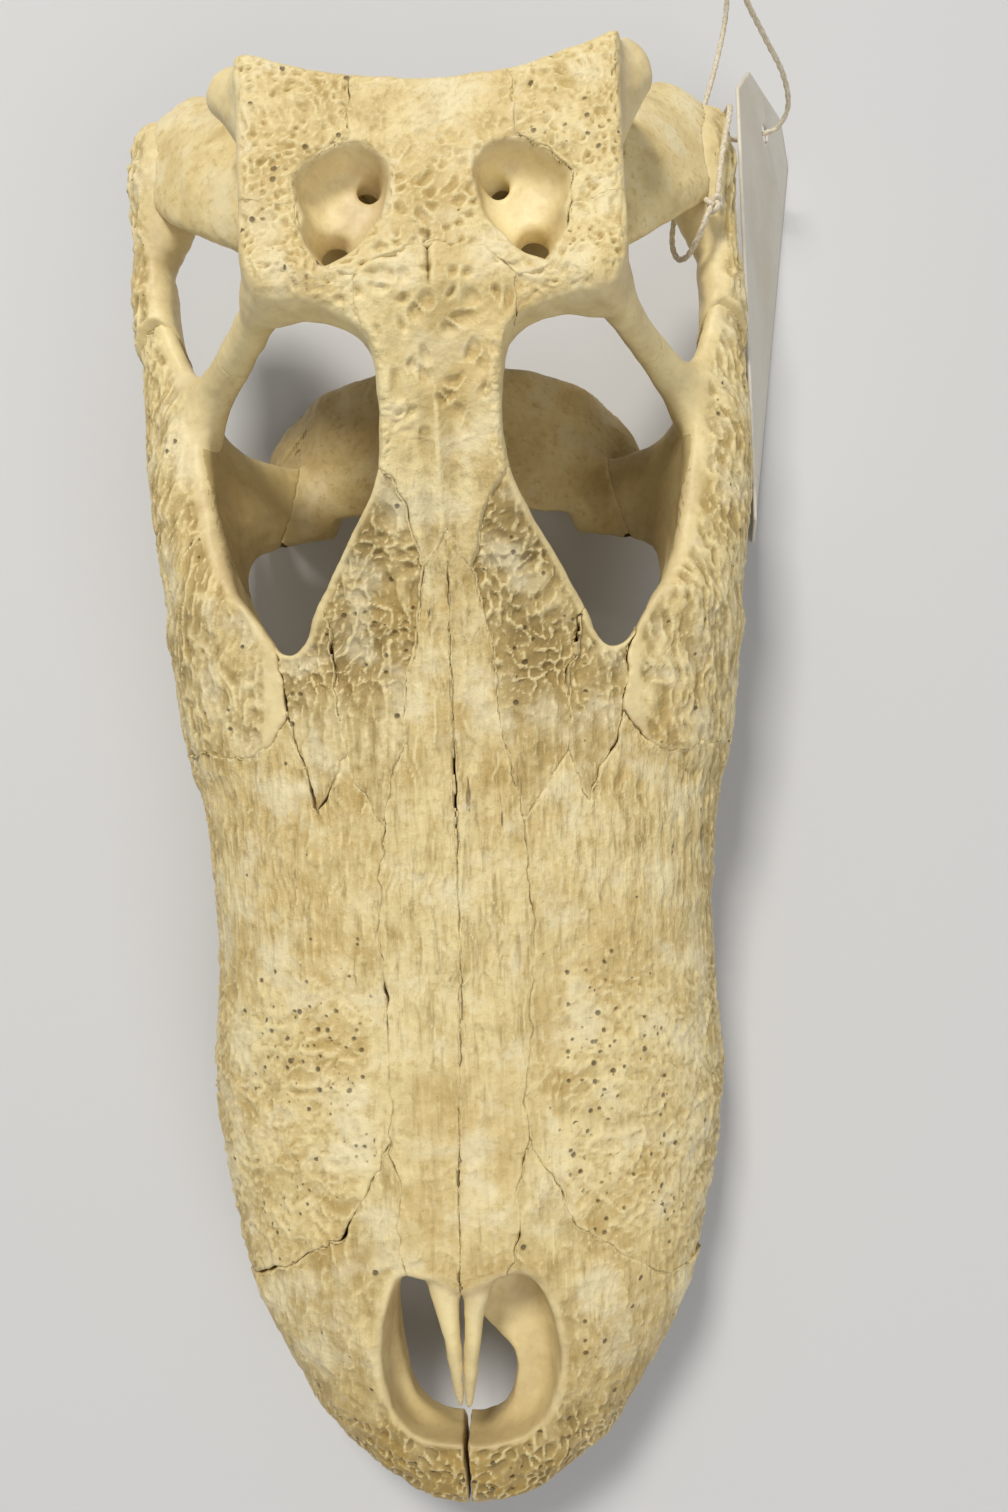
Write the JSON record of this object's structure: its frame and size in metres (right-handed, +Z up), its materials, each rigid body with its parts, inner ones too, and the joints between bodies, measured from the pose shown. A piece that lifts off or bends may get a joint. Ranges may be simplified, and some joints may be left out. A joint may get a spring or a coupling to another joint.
{
  "type": "alligator skull",
  "caption": "Upper skull of an alligator, its bones parted by sutures, resting on its front teeth and palate flanges, with a bare paper tag tied to the cheek.",
  "frame": {"origin": "centre of the skull's base on the surface it rests on, measured without the tag and its string", "axes": "-Y towards the snout tip, +X towards the animal's left side, +Z up"},
  "size_m": [0.167, 0.3492, 0.1033],
  "materials": {
    "bone_sculpted": "matte",
    "bone_smooth": "satin",
    "paper": "matte",
    "string": "matte"
  },
  "bodies": {
    "root": {"premaxilla_left": "bone_sculpted", "premaxilla_right": "bone_sculpted", "maxilla_left": "bone_sculpted", "maxilla_right": "bone_sculpted", "nasal_left": "bone_sculpted", "nasal_right": "bone_sculpted", "prefrontal_left": "bone_sculpted", "prefrontal_right": "bone_sculpted", "lacrimal_left": "bone_sculpted", "lacrimal_right": "bone_sculpted", "jugal_left": "bone_sculpted", "jugal_right": "bone_sculpted", "postorbital_left": "bone_sculpted", "postorbital_right": "bone_sculpted", "squamosal_left": "bone_sculpted", "squamosal_right": "bone_sculpted", "quadrate_left": "bone_smooth", "quadrate_right": "bone_smooth", "quadratojugal_left": "bone_smooth", "quadratojugal_right": "bone_smooth", "palatine_left": "bone_smooth", "palatine_right": "bone_smooth", "pterygoid_left": "bone_smooth", "pterygoid_right": "bone_smooth", "ectopterygoid_left": "bone_smooth", "ectopterygoid_right": "bone_smooth", "frontal": "bone_sculpted", "parietal": "bone_sculpted", "braincase": "bone_smooth", "basioccipital": "bone_smooth", "tag": "paper", "tag_string": "string"}
  },
  "joints": []
}
